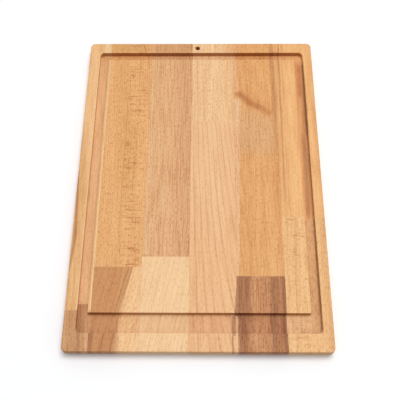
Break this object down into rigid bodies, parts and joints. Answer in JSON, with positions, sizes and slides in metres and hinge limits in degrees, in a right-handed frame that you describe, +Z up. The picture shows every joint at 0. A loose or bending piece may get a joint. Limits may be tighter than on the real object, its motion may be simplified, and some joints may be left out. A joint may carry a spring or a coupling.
{
  "type": "wooden cutting board",
  "caption": "Flat rectangular cutting board of glued beech staves, with a juice groove round its rim, a well at one end and a hole to hang it by.",
  "frame": {"origin": "on the flat underside, below the middle of the board", "axes": "+X across the board to the right, +Y along the board towards the end with the hanging hole, +Z up out of the cutting face"},
  "size_m": [0.35, 0.5, 0.018],
  "materials": {
    "stave_1_far": "oiled beech",
    "stave_1_near": "oiled beech",
    "stave_2_far": "oiled beech",
    "stave_2_near": "oiled beech",
    "stave_3_far": "oiled beech",
    "stave_3_near": "oiled beech",
    "stave_4_far": "oiled beech",
    "stave_4_near": "oiled beech",
    "stave_5_far": "oiled beech",
    "stave_5_near": "oiled beech",
    "stave_6_far": "oiled beech",
    "stave_6_near": "oiled beech"
  },
  "bodies": {
    "root": {"stave_1_far": "stave_1_far", "stave_1_near": "stave_1_near", "stave_2_far": "stave_2_far", "stave_2_near": "stave_2_near", "stave_3_far": "stave_3_far", "stave_3_near": "stave_3_near", "stave_4_far": "stave_4_far", "stave_4_near": "stave_4_near", "stave_5_far": "stave_5_far", "stave_5_near": "stave_5_near", "stave_6_far": "stave_6_far", "stave_6_near": "stave_6_near"}
  },
  "joints": []
}
